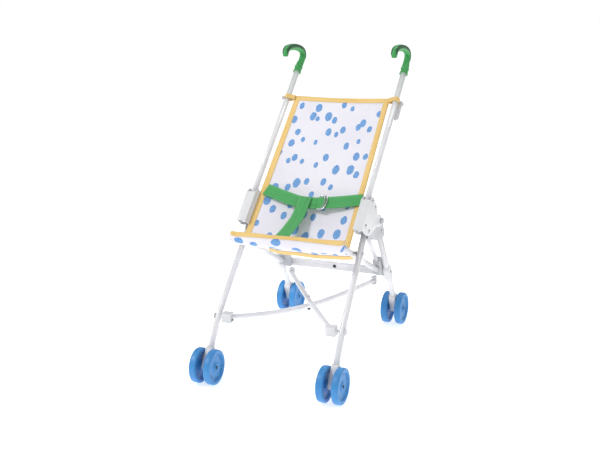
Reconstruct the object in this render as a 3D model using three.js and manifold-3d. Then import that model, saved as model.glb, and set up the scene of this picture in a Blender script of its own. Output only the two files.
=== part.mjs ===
// Folding toy stroller for a doll: tubular side frames, plastic brackets, paired wheels, fabric seat.
// Millimetres, +Z up, +X to the stroller's right seen from the front, +Y toward the handles.
import * as THREE from 'three';
import Module from 'manifold-3d';
import { mergeVertices } from 'three/addons/utils/BufferGeometryUtils.js';

const wasm = await Module();
wasm.setup();

// ---------- driving dimensions ----------
const ORIGIN_Y = 223.9;            // front axle to the middle of the footprint
const WHEEL_RADIUS = 32;
const WHEEL_WIDTH = 13.2;
const WHEEL_SEGMENTS = 24;
const WHEEL_SPACING = 14.05;       // from the leg to the middle of each wheel of a pair
const WHEEL_BORE = 2.9;
const AXLE_RADIUS = 2.5;
const AXLE_Z = WHEEL_RADIUS * Math.cos(Math.PI / WHEEL_SEGMENTS);
const FRONT_AXLE_X = 119.65;
const REAR_AXLE_X = 113.9;
const REAR_AXLE_Y = 367.2;

const TUBE_RADIUS = 5.3;
const TUBE_WALL = 1.1;
const TUBE_SIDES = 12;
const SOCKET_GAP = 0.3;
const RAIL_RADIUS = 5.0;
const STRUT_RADIUS = 3.0;
const ROD_RADIUS = 4.4;

const PUSH_TUBE_X = 113;
const PUSH_START = [172, 261];     // lower rivet of the push tube (y, z)
const PUSH_DIR = [0.759, 0.651];
const PUSH_TUBE_LENGTH = 372;
const GRIP_X = 112;
const GRIP_DEPTH = 7.2;
const GRIP_WIDTH = 6.4;
const GRIP_LINE = [                // hook centre line after the tube end (y, z)
  [466, 512.5], [472.5, 520], [472, 528], [463, 535], [444, 541.5], [420, 545.2], [400, 545.2],
  [389.5, 541.5], [385.6, 534], [385, 530],
];

const LEG_TOP = [113, 231, 281];
const LEG_BEND = [119, 53, 107];
const REAR_LEG_X = 114;
const LEG_PIVOT = [258, 246];
const RAIL_X = 99.5;
const RAIL_FRONT = [103, 244];
const RAIL_PIVOT = [160, 212];
const RAIL_BACK = [315, 124.8];
const STRUT_TOP = [240, 228];
const STRUT_FOOT = [305, 146.5];
const ROD_FRONT = [99, 53, 107];
const ROD_REAR = [89, 316, 105];
const ROD_LIFT = 6.5;                // half the height between the two crossing rods
const ROD_SAG = 11;
const BAR_PIVOT_X = 97;
const BAR_Z = 120;
const BAR_HEIGHT = 17;

const OUTER_PLATE = [121.6, 123.4];
const INNER_PLATE = [104.8, 106.6];
const PANEL_HALF_WIDTH = 91;
const CLOTH = 3;
const STRAP_WIDTH = 25;

const root = new THREE.Group();
root.name = 'doll_stroller';
const frame = new THREE.Group();
frame.name = 'frame';
frame.position.y = -ORIGIN_Y;
root.add(frame);

// ---------- materials ----------
const finish = (color, roughness, metalness = 0) => ({ color, roughness, metalness });
const WHITE_PAINT = finish(0xf1f1f3, 0.35, 0.1);
const BLUE_PLASTIC = finish(0x4b90cf, 0.45);
const GREEN_PLASTIC = finish(0x58a862, 0.5);
const PALE_PLASTIC = finish(0xe3e5e8, 0.45);
const GREY_PLASTIC = finish(0xc3c7cc, 0.5);
const DARK_STEEL = finish(0x3a3c40, 0.4, 0.8);
const BRIGHT_STEEL = finish(0xb9bcc0, 0.3, 0.9);
const CLOTH_WHITE = finish(0xe9e6ef, 0.9);
const STRAP_GREEN = finish(0x5ba766, 0.85);

function add(name, geometry, look) {
  const material = new THREE.MeshStandardMaterial(look);
  material.name = `${name}_finish`;
  const mesh = new THREE.Mesh(geometry, material);
  mesh.name = name;
  frame.add(mesh);
  return mesh;
}

// ---------- solid helpers ----------
function toSolid(geometry) {
  const bare = geometry.clone();
  bare.deleteAttribute('normal');
  bare.deleteAttribute('uv');
  const merged = mergeVertices(bare, 1e-4);
  return new wasm.Manifold(new wasm.Mesh({
    numProp: 3,
    vertProperties: new Float32Array(merged.attributes.position.array),
    triVerts: new Uint32Array(merged.index.array),
  }));
}

function toGeometry(solid) {
  const mesh = solid.getMesh();
  const geometry = new THREE.BufferGeometry();
  geometry.setAttribute('position', new THREE.BufferAttribute(new Float32Array(mesh.vertProperties), 3));
  geometry.setIndex(new THREE.BufferAttribute(new Uint32Array(mesh.triVerts), 1));
  geometry.computeVertexNormals();
  return geometry;
}

// Joins the first list of geometries and cuts the second list out of them.
function carve(solids, cuts) {
  let result = toSolid(solids[0]);
  for (const extra of solids.slice(1)) {
    result = result.add(toSolid(extra));
  }
  for (const cut of cuts) {
    result = result.subtract(toSolid(cut));
  }
  return toGeometry(result);
}

// A cylinder between two points.
function bar(from, to, radius, sides = TUBE_SIDES) {
  const start = new THREE.Vector3(...from);
  const end = new THREE.Vector3(...to);
  const along = end.clone().sub(start);
  const geometry = new THREE.CylinderGeometry(radius, radius, along.length(), sides);
  const turn = new THREE.Quaternion().setFromUnitVectors(new THREE.Vector3(0, 1, 0), along.clone().normalize());
  geometry.applyQuaternion(turn);
  const middle = start.add(end).multiplyScalar(0.5);
  geometry.translate(middle.x, middle.y, middle.z);
  return geometry;
}

// A flat plate whose outline is drawn in the side plane (y, z) and which runs across x.
function sidePlate(outline, x0, x1) {
  const shape = new THREE.Shape(outline.map(([y, z]) => new THREE.Vector2(y, z)));
  const low = Math.min(x0, x1);
  const geometry = new THREE.ExtrudeGeometry(shape, { depth: Math.abs(x1 - x0), bevelEnabled: false });
  const turn = new THREE.Matrix4().makeBasis(
    new THREE.Vector3(0, 1, 0), new THREE.Vector3(0, 0, 1), new THREE.Vector3(1, 0, 0));
  geometry.applyMatrix4(turn);
  geometry.translate(low, 0, 0);
  return geometry;
}

function block(x0, x1, y0, y1, z0, z1) {
  const geometry = new THREE.BoxGeometry(Math.abs(x1 - x0), Math.abs(y1 - y0), Math.abs(z1 - z0));
  geometry.translate((x0 + x1) / 2, (y0 + y1) / 2, (z0 + z1) / 2);
  return geometry;
}

// Outline of a rounded bar in the side plane, from one centre to another.
function capsule(from, to, radius, steps = 7) {
  const heading = Math.atan2(to[1] - from[1], to[0] - from[0]);
  const outline = [];
  for (const [centre, start] of [[to, heading - Math.PI / 2], [from, heading + Math.PI / 2]]) {
    for (let i = 0; i <= steps; i += 1) {
      const angle = start + Math.PI * i / steps;
      outline.push([centre[0] + radius * Math.cos(angle), centre[1] + radius * Math.sin(angle)]);
    }
  }
  return outline;
}

// A path of straight runs joined by short rounded bends.
function bentPath(points, bend) {
  const path = new THREE.CurvePath();
  const corners = points.map((p) => new THREE.Vector3(...p));
  let last = corners[0];
  for (let i = 1; i < corners.length - 1; i += 1) {
    const before = corners[i].clone().add(last.clone().sub(corners[i]).setLength(bend));
    const after = corners[i].clone().add(corners[i + 1].clone().sub(corners[i]).setLength(bend));
    path.add(new THREE.LineCurve3(last, before));
    path.add(new THREE.QuadraticBezierCurve3(before, corners[i], after));
    last = after;
  }
  path.add(new THREE.LineCurve3(last, corners[corners.length - 1]));
  return path;
}

function roundShape(width, depth, sides) {
  const outline = [];
  for (let i = 0; i < sides; i += 1) {
    const angle = 2 * Math.PI * i / sides;
    outline.push(new THREE.Vector2(width * Math.cos(angle), depth * Math.sin(angle)));
  }
  return outline;
}

// A hollow tube along a path; a wall of zero makes it solid.
function sweep(path, radius, wall, steps, sides = TUBE_SIDES) {
  const shape = new THREE.Shape(roundShape(radius, radius, sides));
  if (wall > 0) {
    shape.holes.push(new THREE.Path(roundShape(radius - wall, radius - wall, sides)));
  }
  return new THREE.ExtrudeGeometry(shape, { steps, bevelEnabled: false, extrudePath: path });
}

// A point of the side plane measured along the push tube and across it (rearward positive).
function onPush(along, across) {
  return [
    PUSH_START[0] + PUSH_DIR[0] * along + PUSH_DIR[1] * across,
    PUSH_START[1] + PUSH_DIR[1] * along - PUSH_DIR[0] * across,
  ];
}

function towards(from, to, distance) {
  const length = Math.hypot(to[0] - from[0], to[1] - from[1]);
  return [from[0] + (to[0] - from[0]) * distance / length, from[1] + (to[1] - from[1]) * distance / length];
}

// ---------- wheels and axles ----------
function wheelGeometry() {
  const half = WHEEL_WIDTH / 2;
  const profile = [
    [WHEEL_BORE, -half + 2.5], [8, -half + 2.5], [9, -half + 4], [23, -half + 4], [26, -half],
    [WHEEL_RADIUS - 1.5, -half], [WHEEL_RADIUS, -half + 1.5], [WHEEL_RADIUS, half - 1.5],
    [WHEEL_RADIUS - 1.5, half], [26, half], [23, half - 3], [WHEEL_BORE, half - 3], [WHEEL_BORE, -half + 2.5],
  ];
  const geometry = new THREE.LatheGeometry(profile.map(([r, h]) => new THREE.Vector2(r, h)), WHEEL_SEGMENTS);
  geometry.rotateY(Math.PI / WHEEL_SEGMENTS);
  geometry.rotateZ(-Math.PI / 2);
  return geometry;
}

function wheelPair(prefix, side, x, y) {
  for (const [place, offset] of [['inner', -WHEEL_SPACING], ['outer', WHEEL_SPACING]]) {
    const wheel = add(`${prefix}_wheel_${place}`, wheelGeometry(), BLUE_PLASTIC);
    wheel.position.set(side * (x + offset), y, AXLE_Z);
  }
  const reach = WHEEL_SPACING + WHEEL_WIDTH / 2 - 0.6;
  const axle = bar([side * (x - reach), y, AXLE_Z], [side * (x + reach), y, AXLE_Z], AXLE_RADIUS);
  add(`${prefix}_axle`, axle, DARK_STEEL);
}

// The plastic boot that holds the lower end of a leg and carries the axle.
function boot(name, side, x, y, up) {
  const axlePoint = [y, AXLE_Z];
  const top = towards(axlePoint, up, 27);
  const socketFoot = towards(axlePoint, up, 11);
  const socketTop = towards(axlePoint, up, 60);
  const body = sidePlate(capsule(axlePoint, top, 9), side * (x - 6.3), side * (x + 6.3));
  const socket = bar([side * x, ...socketFoot], [side * x, ...socketTop], TUBE_RADIUS + SOCKET_GAP, 20);
  const bore = bar([side * (x - 9), ...axlePoint], [side * (x + 9), ...axlePoint], AXLE_RADIUS + SOCKET_GAP);
  add(name, carve([body], [socket, bore]), PALE_PLASTIC);
}

// ---------- one side of the frame ----------
function pushTube(prefix, side) {
  const start = onPush(-10, 0);
  const end = onPush(PUSH_TUBE_LENGTH, 0);
  const path = bentPath([[side * PUSH_TUBE_X, ...start], [side * PUSH_TUBE_X, ...end]], 1);
  add(`${prefix}_push_tube`, sweep(path, TUBE_RADIUS, TUBE_WALL, 1), WHITE_PAINT);
}

// The hooked hand grip: a cuff round the tube end, then an arch that turns down at its tip.
function grip(prefix, side) {
  const points = [onPush(PUSH_TUBE_LENGTH + 2, 0), ...GRIP_LINE]
    .map((point) => new THREE.Vector3(side * GRIP_X, ...point));
  const path = new THREE.CatmullRomCurve3(points);
  const shape = new THREE.Shape(roundShape(GRIP_DEPTH, GRIP_WIDTH, 12));
  const hook = new THREE.ExtrudeGeometry(shape, { steps: 20, bevelEnabled: false, extrudePath: path });
  const cuff = bar(
    [side * PUSH_TUBE_X, ...onPush(PUSH_TUBE_LENGTH - 17, 0)],
    [side * PUSH_TUBE_X, ...onPush(PUSH_TUBE_LENGTH + 7, 0)], 8.4, 16);
  const bore = bar(
    [side * PUSH_TUBE_X, ...onPush(PUSH_TUBE_LENGTH - 40, 0)],
    [side * PUSH_TUBE_X, ...onPush(PUSH_TUBE_LENGTH + SOCKET_GAP, 0)], TUBE_RADIUS + SOCKET_GAP, 20);
  add(`${prefix}_grip`, carve([hook, cuff], [bore]), GREEN_PLASTIC);
}

// The channel that laps the push tube and the front leg, with an ear for the rear leg pivot.
function spliceBracket(prefix, side) {
  const outline = [
    onPush(-14, -10), onPush(50, -10), [217, 304], [234, 284], [242, 262],
    [258, 255.5], [268, 246], [262, 236.5], [252, 236], [232, 242], [196, 236], [170, 245],
  ];
  const wall = [onPush(-14, -10), onPush(50, -10), onPush(50, -7), onPush(-14, -7)];
  const parts = [
    sidePlate(outline, side * OUTER_PLATE[0], side * OUTER_PLATE[1]),
    sidePlate(outline, side * INNER_PLATE[0], side * INNER_PLATE[1]),
    sidePlate(wall, side * INNER_PLATE[0], side * OUTER_PLATE[1]),
  ];
  const bore = bar([side * 100, ...LEG_PIVOT], [side * 130, ...LEG_PIVOT], 3.4);
  add(`${prefix}_splice_bracket`, carve(parts, [bore]), PALE_PLASTIC);
}

function frontLeg(prefix, side) {
  const foot = towards([0, AXLE_Z], [LEG_BEND[1], LEG_BEND[2]], 12);
  const path = bentPath([
    [side * LEG_TOP[0], LEG_TOP[1], LEG_TOP[2]],
    [side * LEG_BEND[0], LEG_BEND[1], LEG_BEND[2]],
    [side * FRONT_AXLE_X, ...foot],
  ], 14);
  const tube = sweep(path, TUBE_RADIUS, TUBE_WALL, 7);
  const railHole = bar([side * 100, ...RAIL_PIVOT], [side * 130, ...RAIL_PIVOT], 2.4);
  const yokeHole = bar([side * 105, ROD_FRONT[1], ROD_FRONT[2]], [side * 132, ROD_FRONT[1], ROD_FRONT[2]], 2.9);
  add(`${prefix}_front_leg`, carve([tube], [railHole, yokeHole]), WHITE_PAINT);
  boot(`${prefix}_front_boot`, side, FRONT_AXLE_X, 0, [LEG_BEND[1], LEG_BEND[2]]);
}

// A rivet turned about an x-axis pivot: (x, radius) steps from the inner end to the outer end.
function rivet(name, side, pivot, steps, look) {
  const profile = [new THREE.Vector2(0, steps[0][0])];
  for (const [x, radius] of steps) {
    profile.push(new THREE.Vector2(radius, x));
  }
  profile.push(new THREE.Vector2(0, steps[steps.length - 1][0]));
  const geometry = new THREE.LatheGeometry(profile, TUBE_SIDES);
  geometry.rotateZ(-Math.PI / 2);
  if (side < 0) {
    geometry.rotateZ(Math.PI);
  }
  const mesh = add(name, geometry, look);
  mesh.position.set(0, pivot[0], pivot[1]);
}

function sideRivets(prefix, side) {
  rivet(`${prefix}_leg_pivot_bolt`, side, LEG_PIVOT,
    [[104.9, 3], [123.8, 3], [123.8, 6.2], [127, 6.2], [128.4, 4.6]], GREY_PLASTIC);
  rivet(`${prefix}_rail_pivot_rivet`, side, RAIL_PIVOT,
    [[92.6, 4], [94.1, 4], [94.1, 2], [104.9, 2], [104.9, 4.4], [109.6, 4.4], [109.6, 2],
      [121.2, 2], [121.2, 4.6], [122.2, 4.2], [123, 2.6]], BRIGHT_STEEL);
}

// ---------- rear leg, hinged behind the splice bracket ----------
function rearLeg(prefix, side) {
  const bend = [349, 77];
  const top = [262.5, 234];
  const foot = towards([REAR_AXLE_Y, AXLE_Z], bend, 12);
  const x = side * REAR_LEG_X;
  const path = bentPath([[x, ...top], [x, ...bend], [side * REAR_AXLE_X, ...foot]], 14);
  add(`${prefix}_rear_leg`, sweep(path, TUBE_RADIUS, TUBE_WALL, 7), WHITE_PAINT);
  boot(`${prefix}_rear_boot`, side, REAR_AXLE_X, REAR_AXLE_Y, bend);

  const outline = [
    [201, 235], [203, 242], [230, 247.5], [250, 257], [262, 256.5], [270, 248],
    [287, 213], [273, 205], [262, 209], [243, 213],
  ];
  const body = sidePlate(outline, side * 107.3, side * 121.2);
  const socket = bar([x, ...towards(top, bend, -SOCKET_GAP)], [x, ...towards(top, bend, 50)],
    TUBE_RADIUS + SOCKET_GAP, 20);
  const bore = bar([side * 100, ...LEG_PIVOT], [side * 130, ...LEG_PIVOT], 3.4);
  add(`${prefix}_leg_top_bracket`, carve([body], [socket, bore]), GREY_PLASTIC);

  const clipLow = towards(top, bend, 118);
  const clipHigh = towards(top, bend, 138);
  const clip = sidePlate(capsule(clipLow, clipHigh, 8.2), side * 107.9, side * 120.1);
  const clipBore = bar([x, ...towards(top, bend, 90)], [x, ...towards(top, bend, 166)],
    TUBE_RADIUS + SOCKET_GAP, 20);
  add(`${prefix}_rear_leg_clip`, carve([clip], [clipBore]), PALE_PLASTIC);
}

// ---------- seat rail with its strut and end bracket ----------
function seatRail(prefix, side) {
  const x = side * RAIL_X;
  const railPath = bentPath([[x, ...RAIL_FRONT], [x, ...RAIL_BACK]], 1);
  const rail = sweep(railPath, RAIL_RADIUS, TUBE_WALL, 1);
  const hole = bar([side * 90, ...RAIL_PIVOT], [side * 110, ...RAIL_PIVOT], 2.4);
  add(`${prefix}_seat_rail`, carve([rail], [hole]), WHITE_PAINT);
  const strutPath = bentPath([[x, ...STRUT_TOP], [x, ...STRUT_FOOT]], 1);
  add(`${prefix}_rail_strut`, sweep(strutPath, STRUT_RADIUS, 0, 1), WHITE_PAINT);

  const outline = [
    [296, 151], [306, 159], [313, 154], [331, 131], [331, 113], [321, 114], [300, 124], [300, 140],
  ];
  const body = sidePlate(outline, side * 92.6, side * 106.8);
  const pinX = side * BAR_PIVOT_X;
  const pin = bar([pinX, 329, BAR_Z], [pinX, 337, BAR_Z], 1.8);
  const head = bar([pinX, 336.8, BAR_Z], [pinX, 338.4, BAR_Z], 3.6);
  const railSocket = bar([x, ...towards(RAIL_BACK, RAIL_FRONT, -SOCKET_GAP)],
    [x, ...towards(RAIL_BACK, RAIL_FRONT, 60)], RAIL_RADIUS + SOCKET_GAP, 20);
  const strutSocket = bar([x, ...towards(STRUT_FOOT, STRUT_TOP, -SOCKET_GAP)],
    [x, ...towards(STRUT_FOOT, STRUT_TOP, 30)], STRUT_RADIUS + SOCKET_GAP, 20);
  add(`${prefix}_rail_bracket`, carve([body, pin, head], [railSocket, strutSocket]), GREY_PLASTIC);
}

// ---------- crossed brace rods under the seat ----------
function frontYoke(prefix, side) {
  const [x, y, z] = ROD_FRONT;
  const body = block(side * (x - 8.5), side * (x + 9.5), y - 8, y + 7, z - 8.4, z + 8.4);
  const stub = bar([side * (x + 8), y, z], [side * 125, y, z], 2.5);
  const head = bar([side * 124.8, y, z], [side * 126.8, y, z], 5.2);
  const slot = block(side * (x - 20), side * (x + 7), y - 6, y + 20, z - 6, z + 6);
  const pin = bar([side * x, y, z - 7], [side * x, y, z + 7], 1.5);
  const shell = carve([body, stub, head], [slot]);
  add(`${prefix}_front_yoke`, carve([shell, pin], []), PALE_PLASTIC);
}

// One brace rod, bowed downward, from its front yoke on one side to the rear yoke on the other.
function braceRod(name, side, lift) {
  const [fx, fy, fz] = ROD_FRONT;
  const [rx, ry, rz] = ROD_REAR;
  const points = [];
  const count = 12;
  const front = new THREE.Vector3(side * fx, fy, fz);
  const rear = new THREE.Vector3(-side * rx, ry, rz);
  for (let i = 0; i <= count; i += 1) {
    const t = i / count;
    const point = front.clone().lerp(rear, t);
    point.z += (lift - ROD_SAG) * Math.sin(Math.PI * t);
    points.push(point);
  }
  const tube = sweep(new THREE.CatmullRomCurve3(points), ROD_RADIUS, 0, count, 8);
  const eye = bar([side * fx, fy, fz - 4.6], [side * fx, fy, fz + 4.6], 5);
  const eyeHole = bar([side * fx, fy, fz - 9], [side * fx, fy, fz + 9], 1.9);
  const rearEye = bar([-side * rx, ry, rz - 4.6], [-side * rx, ry, rz + 4.6], 4.8);
  const rearHole = bar([-side * rx, ry, rz - 9], [-side * rx, ry, rz + 9], 1.9);
  const share = fx / (fx + rx);
  const middleY = fy + (ry - fy) * share;
  const middleHole = bar([0, middleY, 80], [0, middleY, 120], 1.9);
  add(name, carve([tube, eye, rearEye], [eyeHole, rearHole, middleHole]), WHITE_PAINT);
}

function rearYoke(prefix, side) {
  const [x, y, z] = ROD_REAR;
  const body = block(side * (x - 5.5), side * (x + 2.8), y - 6, y + 7.4, z - 7.8, z + 7.8);
  const slot = block(side * (x - 20), side * (x + 20), y - 20, y + 5.9, z - 5.8, z + 5.8);
  const pin = bar([side * x, y, z - 6.4], [side * x, y, z + 6.4], 1.5);
  const shell = carve([body], [slot]);
  add(`${prefix}_rear_yoke`, carve([shell, pin], []), PALE_PLASTIC);
}

// The crossing rivet: a domed cap through the upper rod and a tail through the lower one.
function braceRivet() {
  const share = ROD_FRONT[0] / (ROD_FRONT[0] + ROD_REAR[0]);
  const y = ROD_FRONT[1] + (ROD_REAR[1] - ROD_FRONT[1]) * share;
  const z = ROD_FRONT[2] + (ROD_REAR[2] - ROD_FRONT[2]) * share - ROD_SAG;
  const high = z + ROD_LIFT + ROD_RADIUS + 0.4;
  const low = z - ROD_LIFT - ROD_RADIUS - 0.4;
  const cap = [[0, z + 0.9], [1.5, z + 0.9], [1.5, high], [4.6, high], [4.6, high + 1.4], [3, high + 2.8], [0, high + 2.8]];
  const tail = [[0, low - 3], [3, low - 3], [3.4, low], [1.5, low], [1.5, z - 0.9], [0, z - 0.9]];
  for (const [name, profile, look] of [['brace_rivet', cap, PALE_PLASTIC], ['brace_rivet_tail', tail, DARK_STEEL]]) {
    const geometry = new THREE.LatheGeometry(profile.map(([r, h]) => new THREE.Vector2(r, h)), TUBE_SIDES);
    geometry.rotateX(Math.PI / 2);
    add(name, geometry, look).position.y = y;
  }
}

// ---------- rear cross bar in two halves ----------
function barHalf(name, side, y0, y1) {
  const half = BAR_HEIGHT / 2;
  const steps = 8;
  const outline = [];
  for (const [centre, start] of [[BAR_PIVOT_X, -Math.PI / 2], [0, Math.PI / 2]]) {
    for (let i = 0; i <= steps; i += 1) {
      const angle = start + Math.PI * i / steps;
      outline.push(new THREE.Vector2(centre + half * Math.cos(angle), half * Math.sin(angle)));
    }
  }
  const shape = new THREE.Shape(outline);
  for (const x of [BAR_PIVOT_X, 0]) {
    const ring = roundShape(2.2, 2.2, TUBE_SIDES).map((p) => new THREE.Vector2(p.x + x, p.y));
    shape.holes.push(new THREE.Path(ring));
  }
  const geometry = new THREE.ExtrudeGeometry(shape, { depth: y1 - y0, bevelEnabled: false });
  geometry.rotateX(Math.PI / 2);
  if (side < 0) {
    geometry.rotateZ(Math.PI);
  }
  const mesh = add(name, geometry, WHITE_PAINT);
  mesh.position.set(0, side > 0 ? y1 : y0, BAR_Z);
}

function barRivet(y0, y1) {
  const profile = [[0, y0 - 1.8], [3.2, y0 - 1.4], [3.6, y0 - 0.3], [1.8, y0 - 0.3], [1.8, y1], [0, y1]]
    .map(([r, h]) => new THREE.Vector2(r, h));
  const mesh = add('bar_rivet', new THREE.LatheGeometry(profile, TUBE_SIDES), DARK_STEEL);
  mesh.position.z = BAR_Z;
}

// ---------- fold latch near the grips ----------
function latch() {
  const along = 288;
  const across = 10.5;
  const tip = 36;
  const centre = onPush(along, across);
  const x0 = PUSH_TUBE_X + 1;
  const outline = [];
  const steps = 8;
  for (const [offset, start] of [[0, -Math.PI / 2], [-tip, Math.PI / 2]]) {
    for (let i = 0; i <= steps; i += 1) {
      const angle = start + Math.PI * i / steps;
      outline.push(new THREE.Vector2(6 * Math.sin(angle), offset + 6 * Math.cos(angle)));
    }
  }
  const shape = new THREE.Shape(outline.reverse());
  const geometry = new THREE.ExtrudeGeometry(shape, { depth: 3.2, bevelEnabled: false });
  const mesh = add('latch_lever', geometry, PALE_PLASTIC);
  const turn = new THREE.Matrix4().makeBasis(
    new THREE.Vector3(1, 0, 0),
    new THREE.Vector3(0, PUSH_DIR[0], PUSH_DIR[1]),
    new THREE.Vector3(0, -PUSH_DIR[1], PUSH_DIR[0]));
  mesh.setRotationFromMatrix(turn);
  mesh.position.set(x0 + 5, ...centre);
  const stud = bar(
    [-(PUSH_TUBE_X + TUBE_RADIUS + 0.3), ...onPush(along - 2, 0)],
    [-(PUSH_TUBE_X + TUBE_RADIUS + 6.5), ...onPush(along - 2, 0)], 4);
  add('left_catch_stud', stud, GREY_PLASTIC);
}

// ---------- fabric seat and harness, as simple solids ----------
function fabricSeat() {
  const back = [onPush(-44, 3.5), onPush(294, 3.5), onPush(294, 3.5 + CLOTH), onPush(-44, 3.5 + CLOTH)];
  add('back_panel', sidePlate(back, -PANEL_HALF_WIDTH, PANEL_HALF_WIDTH), CLOTH_WHITE);
  const lift = CLOTH / 2;
  const seat = [[108, 241 + lift], [108, 241 - lift], [216, 180 - lift], [216, 180 + lift]];
  add('seat_panel', sidePlate(seat, -PANEL_HALF_WIDTH, PANEL_HALF_WIDTH), CLOTH_WHITE);
}

function harness() {
  const low = 38;
  const high = low + STRAP_WIDTH;
  const lap = [onPush(low, -1), onPush(high, -1), onPush(high, 1), onPush(low, 1)];
  add('left_lap_strap', sidePlate(lap, -PANEL_HALF_WIDTH, -12), STRAP_GREEN);
  add('right_lap_strap', sidePlate(lap, 12, PANEL_HALF_WIDTH), STRAP_GREEN);
  const top = onPush(high - 2, -2);
  const crotch = [[110, 247], [112, 245.5], [150, 256], [top[0] + 2, top[1] - 1], top, [149, 258]];
  add('crotch_strap', sidePlate(crotch, -10, 10), STRAP_GREEN);
  for (const [name, x] of [['belt_ring_inner', 24], ['belt_ring_outer', 34]]) {
    const ring = new THREE.TorusGeometry(14, 1.1, 6, 14);
    ring.scale(0.3, 1, 1);
    const mesh = add(name, ring, BRIGHT_STEEL);
    const turn = new THREE.Matrix4().makeBasis(
      new THREE.Vector3(1, 0, 0),
      new THREE.Vector3(0, PUSH_DIR[0], PUSH_DIR[1]),
      new THREE.Vector3(0, -PUSH_DIR[1], PUSH_DIR[0]));
    mesh.setRotationFromMatrix(turn);
    mesh.position.set(x, ...onPush((low + high) / 2, -2.6));
  }
}

for (const [prefix, side] of [['right', 1], ['left', -1]]) {
  pushTube(prefix, side);
  grip(prefix, side);
  spliceBracket(prefix, side);
  frontLeg(prefix, side);
  sideRivets(prefix, side);
  wheelPair(`${prefix}_front`, side, FRONT_AXLE_X, 0);
  rearLeg(prefix, side);
  wheelPair(`${prefix}_rear`, side, REAR_AXLE_X, REAR_AXLE_Y);
  seatRail(prefix, side);
  frontYoke(prefix, side);
  rearYoke(prefix, side);
}
braceRod('right_front_brace_rod', 1, ROD_LIFT);
braceRod('left_front_brace_rod', -1, -ROD_LIFT);
braceRivet();
barHalf('right_bar_half', 1, 331.8, 333.8);
barHalf('left_bar_half', -1, 334.4, 336.4);
barRivet(331.8, 333.8);
latch();
fabricSeat();
harness();

export default root;
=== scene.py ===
"""Dress and light a folding toy stroller for a doll on its measured frame."""

import logging
import math
from dataclasses import dataclass
from enum import Enum
from typing import Any, Callable, Iterable, Optional, Sequence

import bmesh
import bpy
from mathutils import Matrix, Vector


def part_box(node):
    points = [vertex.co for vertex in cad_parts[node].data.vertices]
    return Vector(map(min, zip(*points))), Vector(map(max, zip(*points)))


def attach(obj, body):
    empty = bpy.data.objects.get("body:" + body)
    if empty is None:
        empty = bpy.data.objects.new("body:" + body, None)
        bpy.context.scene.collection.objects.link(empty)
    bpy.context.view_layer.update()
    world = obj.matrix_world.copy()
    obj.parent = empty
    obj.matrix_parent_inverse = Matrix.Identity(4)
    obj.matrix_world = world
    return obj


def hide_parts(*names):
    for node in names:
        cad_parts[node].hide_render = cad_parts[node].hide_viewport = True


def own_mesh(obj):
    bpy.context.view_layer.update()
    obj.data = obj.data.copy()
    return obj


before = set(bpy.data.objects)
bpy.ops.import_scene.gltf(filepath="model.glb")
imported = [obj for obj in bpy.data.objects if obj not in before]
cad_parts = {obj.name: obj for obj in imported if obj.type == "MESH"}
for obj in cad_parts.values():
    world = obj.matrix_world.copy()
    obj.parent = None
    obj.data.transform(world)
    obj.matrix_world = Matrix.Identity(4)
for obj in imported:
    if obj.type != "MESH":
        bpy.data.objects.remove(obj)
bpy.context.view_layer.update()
LOG = logging.getLogger("stroller")

MM = 0.001
ORIGIN_Y = 223.9
PUSH_START = (172.0, 261.0)
PUSH_DIR = (0.759, 0.651)
PUSH_LENGTH = 372.0
PUSH_X = 113.0
RAIL_X = 99.5
REAR_LEG_X = 114.0
SIDEWAYS = Vector((1, 0, 0))
PUSH_UP = Vector((0, PUSH_DIR[0], PUSH_DIR[1]))
PUSH_FRONT = Vector((0, -PUSH_DIR[1], PUSH_DIR[0]))
Point = Sequence[float]
Surface = Callable[[float, float], Vector]


class Side(Enum):
    """The two sides of the frame, named as seen from the front."""

    RIGHT = 1
    LEFT = -1

    @property
    def word(self) -> str:
        """The name that the side's pieces start with."""
        return self.name.lower()


class Look(Enum):
    """Named finishes used on the stroller."""

    PAINT = "tube_paint"
    PALE = "pale_moulding"
    GREY = "grey_moulding"
    WHEEL = "wheel_moulding"
    GRIP = "grip_moulding"
    # Painted shade for the grip's side recesses.
    RECESS_SHADE = "grip_recess"
    STEEL = "bright_steel"
    DARK = "dark_steel"
    CLOTH = "dotted_cloth"
    BINDING = "edge_binding"
    WEBBING = "belt_webbing"
    FLOOR = "floor"


def at(x: float, y: float, z: float) -> Vector:
    """Turn millimetres measured from the front axle into the row frame in metres."""
    return Vector((x * MM, (y - ORIGIN_Y) * MM, z * MM))


def on_push(x: float, along: float, across: float) -> Vector:
    """A point measured along the push tube and square to it, rearward positive.

    Args:
        x: Sideways place in millimetres.
        along: Distance up the tube from its lower rivet.
        across: Distance behind the tube's axis.

    Returns:
        The point in metres in the row frame.
    """
    y = PUSH_START[0] + PUSH_DIR[0] * along + PUSH_DIR[1] * across
    z = PUSH_START[1] + PUSH_DIR[1] * along - PUSH_DIR[0] * across
    return at(x, y, z)


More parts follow.
